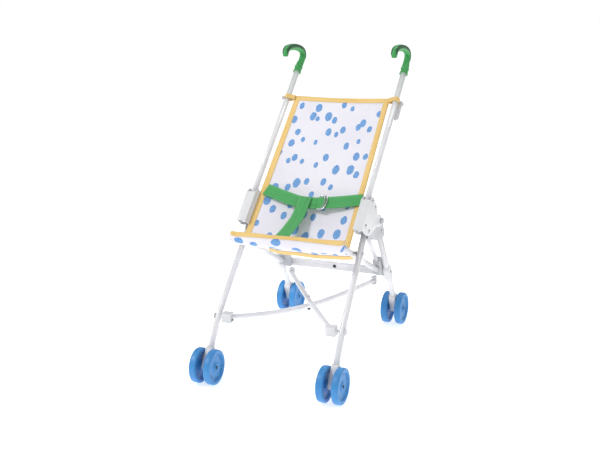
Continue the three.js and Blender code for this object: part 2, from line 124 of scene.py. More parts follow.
# ---------------------------------------------------------------- shader helpers
class Signal:
    """A shader socket whose arithmetic adds Math nodes."""

    def __init__(self, graph: "Graph", socket: Any) -> None:
        """Wrap one output socket of a graph."""
        self.graph = graph
        self.socket = socket

    def maths(self, operation: str, *others: Any) -> "Signal":
        """Add a Math node whose first input is this signal."""
        return self.graph.math(operation, self, *others)

    def __add__(self, other: Any) -> "Signal":
        """Add."""
        return self.graph.math("ADD", self, other)

    def __radd__(self, other: Any) -> "Signal":
        """Add from the left."""
        return self.graph.math("ADD", other, self)

    def __sub__(self, other: Any) -> "Signal":
        """Subtract."""
        return self.graph.math("SUBTRACT", self, other)

    def __rsub__(self, other: Any) -> "Signal":
        """Subtract this from a value."""
        return self.graph.math("SUBTRACT", other, self)

    def __mul__(self, other: Any) -> "Signal":
        """Multiply."""
        return self.graph.math("MULTIPLY", self, other)

    def __truediv__(self, other: Any) -> "Signal":
        """Divide."""
        return self.graph.math("DIVIDE", self, other)

    def ramp(self, low: float, high: float) -> "Signal":
        """Rise smoothly from 0 at low to 1 at high."""
        node = self.graph.node(
            "ShaderNodeMapRange",
            {"interpolation_type": "SMOOTHSTEP"},
            {"Value": self, "From Min": low, "From Max": high},
        )
        return Signal(self.graph, node.outputs["Result"])


class Graph:
    """The node tree of one material, with a Principled surface."""

    def __init__(self, name: str) -> None:
        """Start an empty material with its shader and output."""
        self.material = bpy.data.materials.new(name)
        self.material.use_nodes = True
        self.tree = self.material.node_tree
        self.tree.nodes.clear()
        self.shader = self.tree.nodes.new("ShaderNodeBsdfPrincipled")
        out = self.tree.nodes.new("ShaderNodeOutputMaterial")
        self.tree.links.new(self.shader.outputs[0], out.inputs[0])

    def put(self, target: Any, value: Any) -> None:
        """Link or set one input socket.

        Args:
            target: The input socket.
            value: A Signal, a socket or a plain value.
        """
        if isinstance(value, Signal):
            value = value.socket
        if isinstance(value, bpy.types.NodeSocket):
            self.tree.links.new(value, target)
        else:
            target.default_value = value

    def node(self, kind: str, settings: dict[str, Any], inputs: dict[Any, Any]) -> Any:
        """Add a node.

        Args:
            kind: The node's type name.
            settings: Attributes set before the inputs.
            inputs: Values or links by socket name or number.

        Returns:
            The new node.
        """
        made = self.tree.nodes.new(kind)
        for key, value in settings.items():
            setattr(made, key, value)
        for key, value in inputs.items():
            self.put(made.inputs[key], value)
        return made

    def math(self, operation: str, *values: Any) -> Signal:
        """Add a Math node on up to three values."""
        made = self.node("ShaderNodeMath", {"operation": operation}, dict(enumerate(values)))
        return Signal(self, made.outputs[0])

    def coordinates(self, kind: str) -> Any:
        """The Object or UV coordinate socket."""
        return self.node("ShaderNodeTexCoord", {}, {}).outputs[kind]

    def noise(self, where: Any, scale: float, detail: float = 3.0) -> Signal:
        """Noise between 0 and 1."""
        made = self.node("ShaderNodeTexNoise", {}, {"Vector": where, "Scale": scale, "Detail": detail})
        return Signal(self, made.outputs[0])

    def mix(self, factor: Any, first: Any, second: Any) -> Any:
        """Blend two colours."""
        made = self.node("ShaderNodeMix", {"data_type": "RGBA"}, {0: factor, 6: first, 7: second})
        return made.outputs[2]

    def surface(self, **inputs: Any) -> None:
        """Set the shader's own sockets, with spaces written as underscores."""
        for key, value in inputs.items():
            self.put(self.shader.inputs[key.replace("_", " ")], value)

    def bump(self, height: Any, strength: float, distance: float) -> None:
        """Drive the surface normal from a height."""
        made = self.node(
            "ShaderNodeBump", {}, {"Strength": strength, "Distance": distance, "Height": height})
        self.put(self.shader.inputs["Normal"], made.outputs[0])


Colour = tuple[float, float, float, float]


def rgb(red: int, green: int, blue: int) -> Colour:
    """Turn a display colour of 0 to 255 into the linear colour a shader takes."""
    shares = (red / 255, green / 255, blue / 255)
    linear = [c / 12.92 if c < 0.0404 else ((c + 0.055) / 1.055) ** 2.4 for c in shares]
    return (linear[0], linear[1], linear[2], 1.0)


@dataclass(frozen=True)
class Moulding:
    """Satin moulded plastic with a fine grain and slight wear."""

    name: str
    colour: Colour
    worn: Colour
    roughness: float = 0.42
    metallic: float = 0.0
    coat: float = 0.0
    grain: float = 900.0
    depth: float = 0.00006

    def build(self) -> Any:
        """Make the material."""
        graph = Graph(self.name)
        place = graph.coordinates("Object")
        cloud = graph.noise(place, 24.0, 4.0)
        fine = graph.noise(place, self.grain, 2.0)
        graph.surface(
            Base_Color=graph.mix(cloud.ramp(0.42, 0.75) * 0.6, self.colour, self.worn),
            Roughness=self.roughness + (cloud - 0.5) * 0.22 + (fine - 0.5) * 0.08,
            Metallic=self.metallic,
            Coat_Weight=self.coat,
        )
        graph.bump(fine, 0.35, self.depth)
        return graph.material


@dataclass(frozen=True)
class WheelPlastic:
    """Blue wheel moulding: rings on the disc and groups of small holes near the rim, cut out by the alpha,
    with painted shade of a darker blue round each hole's edge.
    """

    name: str
    colour: Colour
    shade: Colour
    # Painted shade round the edges of the holes.
    hole: Colour
    holes: float = 30.0
    groups: float = 6.0
    hole_ring: float = 0.0212
    ring_pitch: float = 0.0045

    def build(self) -> Any:
        """Make the material on the wheel's own flat map in metres."""
        graph = Graph(self.name)
        parts = graph.node("ShaderNodeSeparateXYZ", {}, {0: graph.coordinates("UV")})
        across, up = Signal(graph, parts.outputs[0]), Signal(graph, parts.outputs[1])
        radius = graph.math("SQRT", across * across + up * up)
        turn = graph.math("ARCTAN2", up, across) / (2 * math.pi)
        cells = (turn * self.holes).maths("FRACT") - 0.5
        gap = (turn * self.groups).maths("FRACT")
        along = cells * radius * (2 * math.pi / self.holes)
        away = radius - self.hole_ring
        reach = graph.math("SQRT", along * along + away * away)
        group = gap.ramp(0.12, 0.14) * (1 - gap.ramp(0.86, 0.88))
        holes = (1 - reach.ramp(0.00105, 0.00145)) * group
        rings = (radius * 2 * math.pi / self.ring_pitch).maths("SINE") * (1 - radius.ramp(0.0185, 0.0195))
        cloud = graph.noise(graph.coordinates("Object"), 30.0, 4.0)
        fine = graph.noise(graph.coordinates("Object"), 800.0, 2.0)
        base = graph.mix(cloud.ramp(0.4, 0.8) * 0.5, self.colour, self.shade)
        graph.surface(
            # The darker hole colour fades in round each hole's edge as painted shade of the hole wall.
            Base_Color=graph.mix(holes, base, self.hole),
            Roughness=0.42 + (cloud - 0.5) * 0.2,
            Alpha=1 - holes,
        )
        graph.bump(rings * 0.5 + fine * 0.12 - holes * 2.0, 0.6, 0.0006)
        return graph.material


@dataclass(frozen=True)
class DottedCloth:
    """Plain woven cloth printed with loose oval dots, mapped in metres of flat cloth."""

    name: str
    ground: Colour
    shade: Colour
    dot: Colour
    dot_dark: Colour
    pitch: float = 0.034
    yarn: float = 0.00055

    def build(self) -> Any:
        """Make the material."""
        graph = Graph(self.name)
        flat = graph.coordinates("UV")
        wobble = graph.node("ShaderNodeTexNoise", {}, {"Vector": flat, "Scale": 120.0, "Detail": 2.0})
        drift = graph.node(
            "ShaderNodeVectorMath", {"operation": "SCALE"}, {0: wobble.outputs[1], "Scale": 0.003})
        moved = graph.node("ShaderNodeVectorMath", {"operation": "ADD"}, {0: flat, 1: drift.outputs[0]})
        turned = graph.node(
            "ShaderNodeMapping", {},
            {"Vector": moved.outputs[0], "Rotation": (0, 0, 0.45), "Scale": (1.3, 0.85, 1)},
        )
        cells = graph.node(
            "ShaderNodeTexVoronoi",
            {"voronoi_dimensions": "2D"},
            {"Vector": turned.outputs[0], "Scale": 1 / self.pitch, "Randomness": 0.75},
        )
        pick = graph.node("ShaderNodeSeparateColor", {}, {0: cells.outputs["Color"]})
        size = 0.15 + Signal(graph, pick.outputs[0]) * 0.13
        edge = Signal(graph, cells.outputs["Distance"]) - size
        dots = 1 - edge.ramp(-0.012, 0.018)
        streak = graph.noise(turned.outputs[0], 420.0, 2.0)
        parts = graph.node("ShaderNodeSeparateXYZ", {}, {0: flat})
        warp = (Signal(graph, parts.outputs[0]) * (2 * math.pi / self.yarn)).maths("SINE")
        weft = (Signal(graph, parts.outputs[1]) * (2 * math.pi / self.yarn)).maths("SINE")
        cloud = graph.noise(flat, 9.0, 3.0)
        ground = graph.mix(cloud.ramp(0.35, 0.75) * 0.7, self.ground, self.shade)
        ink = graph.mix(streak.ramp(0.4, 0.65), self.dot, self.dot_dark)
        graph.surface(
            Base_Color=graph.mix(dots * 0.92, ground, ink),
            Roughness=0.78 + warp * weft * 0.05 + dots * 0.05,
            Sheen_Weight=0.25,
            Sheen_Roughness=0.5,
        )
        graph.bump(warp * weft, 0.35, 0.00012)
        return graph.material


@dataclass(frozen=True)
class Tape:
    """Ribbed narrow cloth with two rows of stitching, mapped across 0 to 1 and along in metres."""

    name: str
    colour: Colour
    shade: Colour
    thread: Colour
    rib: float
    stitch_at: float

    def build(self) -> Any:
        """Make the material."""
        graph = Graph(self.name)
        flat = graph.coordinates("UV")
        parts = graph.node("ShaderNodeSeparateXYZ", {}, {0: flat})
        across, along = Signal(graph, parts.outputs[0]), Signal(graph, parts.outputs[1])
        ribs = (along * (2 * math.pi / self.rib)).maths("SINE")
        side = graph.math("ABSOLUTE", across - 0.5)
        row = 1 - graph.math("ABSOLUTE", side - self.stitch_at).ramp(0.012, 0.03)
        dash = (along / 0.0032).maths("FRACT").ramp(0.3, 0.4)
        stitch = row * dash
        cloud = graph.noise(flat, 14.0, 3.0)
        base = graph.mix(cloud.ramp(0.35, 0.8) * 0.8, self.colour, self.shade)
        graph.surface(
            Base_Color=graph.mix(stitch * 0.7, base, self.thread),
            Roughness=0.72 + ribs * 0.06,
            Sheen_Weight=0.2,
        )
        graph.bump(ribs * 0.5 + stitch, 0.4, 0.00018)
        return graph.material


@dataclass(frozen=True)
class PlainFloor:
    """Pale matt studio floor that glows a little, so that it reads as white."""

    name: str
    colour: Colour
    shade: Colour
    glow: float = 0.62

    def build(self) -> Any:
        """Make the material."""
        graph = Graph(self.name)
        cloud = graph.noise(graph.coordinates("Object"), 1.5, 2.0)
        graph.surface(
            Base_Color=graph.mix(cloud * 0.1, self.colour, self.shade),
            Roughness=0.9,
            Emission_Color=(1.0, 1.0, 1.0, 1.0),
            Emission_Strength=self.glow,
        )
        return graph.material


FINISHES: dict[Look, Any] = {
    Look.PAINT: Moulding(
        "tube_paint", rgb(234, 234, 237), rgb(220, 221, 225), 0.3, 0.0, 0.4, 300.0, 0.00003),
    Look.PALE: Moulding("pale_moulding", rgb(226, 227, 229), rgb(208, 210, 213), 0.45),
    Look.GREY: Moulding("grey_moulding", rgb(196, 198, 202), rgb(176, 179, 184), 0.48),
    Look.GRIP: Moulding("grip_moulding", rgb(62, 158, 84), rgb(50, 138, 70), 0.5, 0.0, 0.0, 700.0, 0.0001),
    # Darker green for the grip's side recesses: painted shade.
    Look.RECESS_SHADE: Moulding("grip_recess", rgb(26, 84, 44), rgb(20, 68, 34), 0.6),
    Look.STEEL: Moulding("bright_steel", rgb(196, 198, 202), rgb(168, 170, 176), 0.28, 1.0),
    Look.DARK: Moulding("dark_steel", rgb(58, 60, 64), rgb(40, 42, 46), 0.42, 0.7),
    # Its third colour is painted shade round the wheel holes.
    Look.WHEEL: WheelPlastic("wheel_moulding", rgb(62, 142, 208), rgb(50, 124, 192), rgb(20, 60, 110)),
    Look.CLOTH: DottedCloth(
        "dotted_cloth", rgb(240, 238, 246), rgb(230, 227, 240), rgb(98, 164, 224), rgb(66, 134, 204)),
    Look.BINDING: Tape(
        "edge_binding", rgb(240, 204, 128), rgb(226, 184, 100), rgb(250, 226, 168), 0.0011, 0.3),
    Look.WEBBING: Tape(
        "belt_webbing", rgb(70, 166, 90), rgb(56, 146, 74), rgb(120, 196, 136), 0.0022, 0.42),
    Look.FLOOR: PlainFloor("floor", rgb(246, 246, 247), rgb(236, 236, 238)),
}
_MADE: dict[Look, Any] = {}


def finish(look: Look) -> Any:
    """The material of a look, made once."""
    if look not in _MADE:
        _MADE[look] = FINISHES[look].build()
    return _MADE[look]


# ---------------------------------------------------------------- mesh helpers
def publish(
    name: str, mesh: bmesh.types.BMesh, look: Look, body: Optional[str], smooth: bool = True
) -> Any:
    """Turn a bmesh into a finished piece.

    Args:
        name: The piece's name.
        mesh: The shape, in the row frame.
        look: Its finish.
        body: The CAD body it rides, or None for the stage.
        smooth: Whether faces are shaded smooth.

    Returns:
        The new object.
    """
    data = bpy.data.meshes.new(name)
    mesh.to_mesh(data)
    mesh.free()
    piece = bpy.data.objects.new(name, data)
    bpy.context.scene.collection.objects.link(piece)
    data.materials.append(finish(look))
    for polygon in data.polygons:
        polygon.use_smooth = smooth
    if body is not None:
        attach(piece, body)
    LOG.info("%s: %d faces on %s", name, len(data.polygons), body)
    return piece


def sweep(
    mesh: bmesh.types.BMesh,
    path: Sequence[Vector],
    radii: Callable[[float, float], tuple[float, float]],
    sides: int = 24,
) -> None:
    """Draw a ring along a path and close both ends.

    Args:
        mesh: Where the shape goes.
        path: Centre points in metres.
        radii: Gives (sideways, upright) radii from the share along the path and the angle round it.
        sides: Corners of the ring; its first radius points sideways.
    """
    made = bmesh.ops.create_circle(mesh, cap_ends=True, segments=sides, radius=1.0)
    ring = list(made["verts"])
    count = len(path)
    for index, centre in enumerate(path):
        ahead = path[min(index + 1, count - 1)] - path[max(index - 1, 0)]
        upright = ahead.normalized().cross(SIDEWAYS).normalized()
        flat = upright.cross(ahead.normalized()).normalized()
        if index:
            edges = list({e for v in ring for e in v.link_edges if e.other_vert(v) in set(ring)})
            grown = bmesh.ops.extrude_edge_only(mesh, edges=edges)
            fresh = [g for g in grown["geom"] if isinstance(g, bmesh.types.BMVert)]
            ring = _ordered(ring, fresh)
        for corner, vert in enumerate(ring):
            angle = 2 * math.pi * corner / sides
            wide, tall = radii(index / (count - 1), angle)
            vert.co = centre + flat * (wide * math.cos(angle)) + upright * (tall * math.sin(angle))
    bmesh.ops.contextual_create(mesh, geom=ring)
    bmesh.ops.recalc_face_normals(mesh, faces=mesh.faces)


def _ordered(old: Sequence[Any], fresh: Iterable[Any]) -> list[Any]:
    """Match freshly extruded corners to the ring they grew from."""
    pool = set(fresh)
    found = []
    for vert in old:
        twin = next(e.other_vert(vert) for e in vert.link_edges if e.other_vert(vert) in pool)
        found.append(twin)
    return found


def lattice(
    surface: Surface,
    columns: int,
    rows: int,
    size: tuple[float, float],
    start: tuple[float, float] = (0.0, 0.0),
) -> bmesh.types.BMesh:
    """Lay a grid of cloth on a surface and map it.

    Args:
        surface: Gives a point from shares (0 to 1) across and along.
        columns: Cells across.
        rows: Cells along.
        size: What the map spans across and along.
        start: Where the map begins.

    Returns:
        The mesh of the cloth.
    """
    mesh = bmesh.new()
    layer = mesh.loops.layers.uv.new("flat")
    bmesh.ops.create_grid(mesh, x_segments=columns, y_segments=rows, size=0.5)
    shares = {v: (v.co.x + 0.5, v.co.y + 0.5) for v in mesh.verts}
    for face in mesh.faces:
        for loop in face.loops:
            u, v = shares[loop.vert]
            loop[layer].uv = (start[0] + u * size[0], start[1] + v * size[1])
    for vert, (u, v) in shares.items():
        vert.co = surface(u, v)
    return mesh


def thicken(piece: Any, amount: float) -> None:
    """Give a sheet its thickness, shared to both sides."""
    shell = piece.modifiers.new("thickness", "SOLIDIFY")
    shell.thickness = amount
    shell.offset = 0.0


def along_line(points: Sequence[Vector], share: float) -> Vector:
    """The point at a share of the length of a broken line."""
    spans = [(b - a).length for a, b in zip(points, points[1:])]
    left = share * sum(spans)
    for span, first, second in zip(spans, points, points[1:]):
        if left <= span or second is points[-1]:
            return first.lerp(second, left / span)
        left -= span
    return points[-1]


def rounded(points: Sequence[Vector], bend: float, steps: int = 6) -> list[Vector]:
    """Round the corners of a broken line.

    Args:
        points: The corners.
        bend: How far each side of a corner the bend starts.
        steps: Points in each bend.

    Returns:
        The rounded line.
    """
    line = [points[0]]
    for before, corner, after in zip(points, points[1:], points[2:]):
        start = corner + (before - corner).normalized() * bend
        end = corner + (after - corner).normalized() * bend
        for step in range(steps + 1):
            t = step / steps
            line.append(start.lerp(corner, t).lerp(corner.lerp(end, t), t))
    line.append(points[-1])
    return line


def flowing(corners: Sequence[Vector], count: int) -> list[Vector]:
    """A smooth line of count points through all corners."""
    padded = [corners[0] * 2 - corners[1], *corners, corners[-1] * 2 - corners[-2]]
    spans = len(corners) - 1
    line = []
    for index in range(count):
        place = index / (count - 1) * spans
        span = min(int(place), spans - 1)
        t = place - span
        a, b, c, d = padded[span:span + 4]
        line.append(0.5 * ((2 * b) + (c - a) * t + (2 * a - 5 * b + 4 * c - d) * t ** 2
                           + (3 * b - a - 3 * c + d) * t ** 3))
    return line


def turned_x(
    profile: Sequence[tuple[float, float]], centre: Vector, sides: int = 32
) -> bmesh.types.BMesh:
    """Spin a profile of (x, radius) steps, in metres, round the x axis through a centre."""
    mesh = bmesh.new()
    start = [mesh.verts.new((x, r, 0)) for x, r in profile]
    edges = [mesh.edges.new(pair) for pair in zip(start, start[1:])]
    bmesh.ops.spin(
        mesh, geom=start + edges, cent=(0, 0, 0), axis=(1, 0, 0), angle=2 * math.pi, steps=sides,
        use_merge=True)
    bmesh.ops.remove_doubles(mesh, verts=mesh.verts, dist=1e-6)
    bmesh.ops.recalc_face_normals(mesh, faces=mesh.faces)
    bmesh.ops.translate(mesh, verts=mesh.verts, vec=centre)
    return mesh


def soften(node: str, look: Look, body: str, width: float) -> None:
    """Replace a CAD moulding by a copy with rounded edges.

    Args:
        node: The CAD node.
        look: Its finish.
        body: The body it rides.
        width: Edge radius in millimetres.
    """
    mesh = bmesh.new()
    mesh.from_mesh(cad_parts[node].data)
    bmesh.ops.remove_doubles(mesh, verts=mesh.verts, dist=2e-6)
    bmesh.ops.dissolve_limit(mesh, angle_limit=math.radians(1), verts=mesh.verts, edges=mesh.edges)
    piece = publish(f"{node}_body", mesh, look, body)
    edge = piece.modifiers.new("edge", "BEVEL")
    edge.width = width * MM
    edge.segments = 2
    edge.limit_method = "ANGLE"
    edge.angle_limit = math.radians(35)
    edge.harden_normals = True
    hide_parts(node)


# ---------------------------------------------------------------- the stroller's parts
@dataclass
class Tubes:
    """Round painted tubes of both sides and the crossed brace rods."""

    radius: float = 5.7
    rail_radius: float = 5.2
    strut_radius: float = 4.2
    rod_radius: float = 4.9
    rod_sag: float = 11.0
    rod_lift: float = 6.5

    def tube(
        self, node: str, points: Sequence[Vector], radius: float, body: str, bend: float = 12.0
    ) -> None:
        """Sweep one smooth tube in place of its CAD node.

        Args:
            node: The CAD node it replaces.
            points: Its corners.
            radius: Its radius in millimetres.
            body: The body it rides.
            bend: How far from a corner a bend starts, in millimetres.
        """
        mesh = bmesh.new()
        line = rounded(points, bend * MM)
        sweep(mesh, line, lambda share, angle: (radius * MM, radius * MM), 24)
        piece = publish(f"{node}_skin", mesh, Look.PAINT, body)
        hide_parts(node)

    def rod(self, node: str, side: Side, lift: float, body: str) -> None:
        """Sweep one bowed brace rod with its two flattened eyes.

        Args:
            node: The CAD node it replaces.
            side: The side where its front end is.
            lift: How far its middle stands above or below the crossing.
            body: The body it rides.
        """
        sign = side.value
        front, rear = at(99 * sign, 53, 107), at(-89 * sign, 316, 105)
        line = []
        for step in range(33):
            share = step / 32
            point = front.lerp(rear, share)
            point.z += (lift - self.rod_sag) * MM * math.sin(math.pi * share)
            line.append(point)
        mesh = bmesh.new()

        def section(share: float, angle: float) -> tuple[float, float]:
            """Flatten the rod toward its eyes."""
            flat = min(1.0, min(share, 1 - share) / 0.05)
            wide, tall = 1.25 - 0.25 * flat, 0.7 + 0.3 * flat
            return (self.rod_radius * wide * MM, self.rod_radius * tall * MM)

        sweep(mesh, line, section, 20)
        piece = publish(f"{node}_skin", mesh, Look.PAINT, body)
        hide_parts(node)

    def build(self) -> None:
        """Make every tube of both sides."""
        for side in Side:
            s, word = side.value, side.word
            root = f"{word}_side"
            self.tube(
                f"{word}_push_tube",
                [on_push(PUSH_X * s, -10, 0), on_push(PUSH_X * s, PUSH_LENGTH, 0)], self.radius, root)
            self.tube(
                f"{word}_front_leg",
                [at(PUSH_X * s, 231, 281), at(119 * s, 53, 107), at(119.65 * s, 7, 41.6)],
                self.radius, root, 16.0)
            self.tube(
                f"{word}_rear_leg",
                [at(REAR_LEG_X * s, 262.5, 234), at(REAR_LEG_X * s, 349, 77), at(113.9 * s, 362.6, 42.8)],
                self.radius, f"{word}_rear_leg_body", 16.0)
            self.tube(
                f"{word}_seat_rail",
                [at(RAIL_X * s, 103, 244), at(RAIL_X * s, 315, 124.8)], self.rail_radius, f"{word}_rail")
            self.tube(
                f"{word}_rail_strut",
                [at(RAIL_X * s, 240, 228), at(RAIL_X * s, 305, 146.5)], self.strut_radius, f"{word}_rail")
        self.rod("right_front_brace_rod", Side.RIGHT, self.rod_lift, "right_rod")
        self.rod("left_front_brace_rod", Side.LEFT, -self.rod_lift, "left_rod")


@dataclass
class Mouldings:
    """Plastic brackets, boots, yokes and small metal parts, with rounded edges and rivet heads."""

    rim_height: float = 0.8
    plate_x: float = 123.4

    def head(self, mesh: bmesh.types.BMesh, centre: Vector, outward: Vector, radius: float) -> None:
        """Add one domed rivet head with its washer rim.

        Args:
            mesh: Where the head goes.
            centre: Its seat.
            outward: The direction it faces.
            radius: Its radius in millimetres.
        """
        turn = outward.to_track_quat("Z", "Y").to_matrix().to_4x4()
        place = Matrix.Translation(centre) @ turn
        rim = self.rim_height
        bmesh.ops.create_cone(
            mesh, cap_ends=True, segments=20, radius1=radius * MM, radius2=radius * 0.94 * MM,
            depth=rim * MM, matrix=place @ Matrix.Translation((0, 0, rim / 2 * MM)))
        bmesh.ops.create_uvsphere(
            mesh, u_segments=18, v_segments=10, radius=radius * 0.72 * MM,
            matrix=place @ Matrix.Translation((0, 0, 0.7 * MM)) @ Matrix.Diagonal((1, 1, 0.45, 1)))

    def heads(
        self, name: str, spots: Sequence[tuple[Vector, Vector, float]], look: Look, body: str
    ) -> None:
        """Make one piece of several rivet heads."""
        mesh = bmesh.new()
        for centre, outward, radius in spots:
            self.head(mesh, centre, outward, radius)
        publish(name, mesh, look, body)

    def side(self, side: Side) -> None:
        """Dress the mouldings of one side."""
        s, word = side.value, side.word
        root, rail, leg = f"{word}_side", f"{word}_rail", f"{word}_rear_leg_body"
        soften(f"{word}_splice_bracket", Look.PALE, root, 0.7)
        soften(f"{word}_front_boot", Look.PALE, root, 1.2)
        soften(f"{word}_leg_pivot_bolt", Look.GREY, root, 0.5)
        soften(f"{word}_rail_pivot_rivet", Look.STEEL, root, 0.3)
        soften(f"{word}_front_axle", Look.DARK, root, 0.3)
        soften(f"{word}_front_yoke", Look.PALE, f"{word}_yoke", 0.7)
        soften(f"{word}_rail_bracket", Look.GREY, rail, 0.8)
        soften(f"{word}_leg_top_bracket", Look.GREY, leg, 1.0)
        soften(f"{word}_rear_leg_clip", Look.PALE, leg, 1.0)
        soften(f"{word}_rear_boot", Look.PALE, leg, 1.2)
        soften(f"{word}_rear_axle", Look.DARK, leg, 0.3)
        soften(f"{word}_rear_yoke", Look.PALE, "left_rod" if side is Side.RIGHT else "right_rod", 0.5)
        soften(f"{word}_bar_half", Look.PAINT, f"{word}_bar", 0.5)
        out = Vector((s, 0, 0))
        plate = self.plate_x * s
        self.heads(f"{word}_splice_rivets", [
            (at(plate, 213, 296), out, 4.2), (at(plate, 172, 261), out, 4.2),
            (at(plate, 229, 280), out, 4.0), (at(plate, 190, 246), out, 4.0)], Look.STEEL, root)
        self.heads(f"{word}_leg_top_rivets", [(at(121.2 * s, 268, 224), out, 3.6)], Look.STEEL, leg)
        self.heads(f"{word}_clip_rivet", [(at(120.1 * s, 324, 122.5), out, 3.8)], Look.STEEL, leg)
        self.heads(f"{word}_leg_hole_rivet", [
            (at(120.2 * s, 186, 235.5), Vector((0.9 * s, -0.3, -0.3)), 2.6)], Look.DARK, root)

    def build(self) -> None:
        """Dress all mouldings."""
        for side in Side:
            self.side(side)
        soften("brace_rivet", Look.PALE, "right_rod", 0.4)
        soften("brace_rivet_tail", Look.DARK, "left_rod", 0.3)
        soften("bar_rivet", Look.DARK, "right_bar", 0.3)
        soften("latch_lever", Look.PALE, "latch", 0.8)
        soften("left_catch_stud", Look.GREY, "left_side", 0.8)
        for name, x, radius, look in (
                ("latch_boss", 122.1, 4.8, Look.PAINT), ("latch_pivot_head", 123.9, 3.2, Look.DARK)):
            self.heads(name, [(on_push(x, 288, 10.5), SIDEWAYS, radius)], look, "latch")


@dataclass
class Grip:
    """Arched hand grip with a flared cuff, finger ridges and recessed side faces, whose shade is painted
    on as dark green strips.
    """

    side: Side
    depth: float = 6.2
    width: float = 6.4
    ridge_turns: float = 13.6
    hook_x: float = 112.0
    cuff_start: float = 17.5
    cuff_length: float = 26.0
    stations: int = 72
    line: tuple[tuple[float, float], ...] = (
        (466, 512.5), (472.5, 520), (472, 528), (463, 535), (444, 541.5), (420, 545.2), (400, 545.2),
        (389.5, 541.5), (385.6, 534), (385, 530))

    def centre(self, x: float, out: float = 0.0) -> list[Vector]:
        """The grip's centre line at one sideways place, moved toward the outside of the arch."""
        corners = [on_push(x, PUSH_LENGTH + 1, 0)] + [at(x, y, z) for y, z in self.line]
        path = flowing(corners, self.stations)
        moved = []
        for index, point in enumerate(path):
            ahead = (path[min(index + 1, self.stations - 1)] - path[max(index - 1, 0)]).normalized()
            moved.append(point + ahead.cross(SIDEWAYS) * (out * MM))
        return moved

    def hook(self, share: float, angle: float) -> tuple[float, float]:
        """Radii of the arch: ridged inside, slimmer and blunt at the tip."""
        slim = 1.0 - 0.22 * max(0.0, (share - 0.7) / 0.3)
        end = min(1.0, (1 - share) / 0.02)
        close = math.sqrt(max(0.25, 1 - 0.75 * (1 - end) ** 2))
        inner = max(0.0, -math.sin(angle)) ** 2
        ripple = inner * math.sin(share * 2 * math.pi * self.ridge_turns) if 0.16 < share < 0.66 else 0.0
        return (self.width * slim * close * MM, (self.depth * slim * close + 0.8 * ripple) * MM)

    def build(self) -> None:
        """Make the hook, its cuff and the dark strips of painted shade in its side recesses."""
        x, word = self.hook_x * self.side.value, self.side.word
        body = f"{word}_side"
        mesh = bmesh.new()
        sweep(mesh, self.centre(x), self.hook, 28)
        hook = publish(f"{word}_grip_hook", mesh, Look.GRIP, body)
        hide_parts(f"{word}_grip")
        cuff = bmesh.new()
        foot = PUSH_LENGTH - self.cuff_start
        cuff_line = [
            on_push(PUSH_X * self.side.value, foot + self.cuff_length * i / 24, 0) for i in range(25)]

        def cuff_section(share: float, angle: float) -> tuple[float, float]:
            """Flared, notched foot and a raised collar."""
            notch = 0.5 * max(0.0, 1 - share / 0.12) * math.cos(4 * angle)
            collar = 1.5 * math.exp(-((share - 0.5) / 0.09) ** 2)
            flare = 1.3 * min(1.0, share / 0.35)
            size = 8.2 - flare + collar + notch - 0.9 * max(0.0, (share - 0.85) / 0.15)
            return (size * MM, size * MM)

        sweep(cuff, cuff_line, cuff_section, 32)
        publish(f"{word}_grip_cuff", cuff, Look.GRIP, body)
        # Each side recess is a thin dark green strip lying on the hook's side face: painted shade, not a
        # cut recess.
        for index, face in enumerate((1, -1)):
            recess = bmesh.new()
            line = self.centre(x + (self.width - 2.2) * face, 1.0)[8:64]
            sweep(recess, line, lambda share, angle: (
                2.4 * MM, 4.4 * MM * min(1.0, min(share, 1 - share) / 0.12 + 0.15)), 16)
            publish(f"{word}_grip_recess_{index + 1}", recess, Look.RECESS_SHADE, body)


@dataclass
class Wheel:
    """One moulded wheel with a rounded tread, thick rim and ringed disc."""

    name: str
    radius: float = 32.0
    half: float = 6.6

    def build(self) -> None:
        """Turn the wheel and map its disc."""
        low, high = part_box(self.name)
        centre = (low + high) / 2
        rim, bore = self.radius - 0.35, 2.9
        steps = [
            (2.2, bore), (1.4, 3.6), (1.2, 6.6), (2.2, 7.4), (3.2, 8.4), (3.2, 18.0), (2.6, 18.8),
            (2.8, 23.8), (0.8, 24.8), (0.1, 25.6), (0.1, 29.4), (0.9, 31.0), (2.4, rim - 0.1), (3.2, rim)]
        profile = [(inset - self.half, r) for inset, r in steps]
        outline = profile + [(-x, r) for x, r in reversed(profile)] + [profile[0]]
        mesh = turned_x([(x * MM, r * MM) for x, r in outline], centre, 64)
        layer = mesh.loops.layers.uv.new("disc")
        for face in mesh.faces:
            for loop in face.loops:
                place = loop.vert.co - centre
                loop[layer].uv = (place.y, place.z)
        piece = publish(f"{self.name}_moulding", mesh, Look.WHEEL, self.name, True)
        edge = piece.modifiers.new("edge", "EDGE_SPLIT")
        edge.split_angle = math.radians(50)
        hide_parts(self.name)


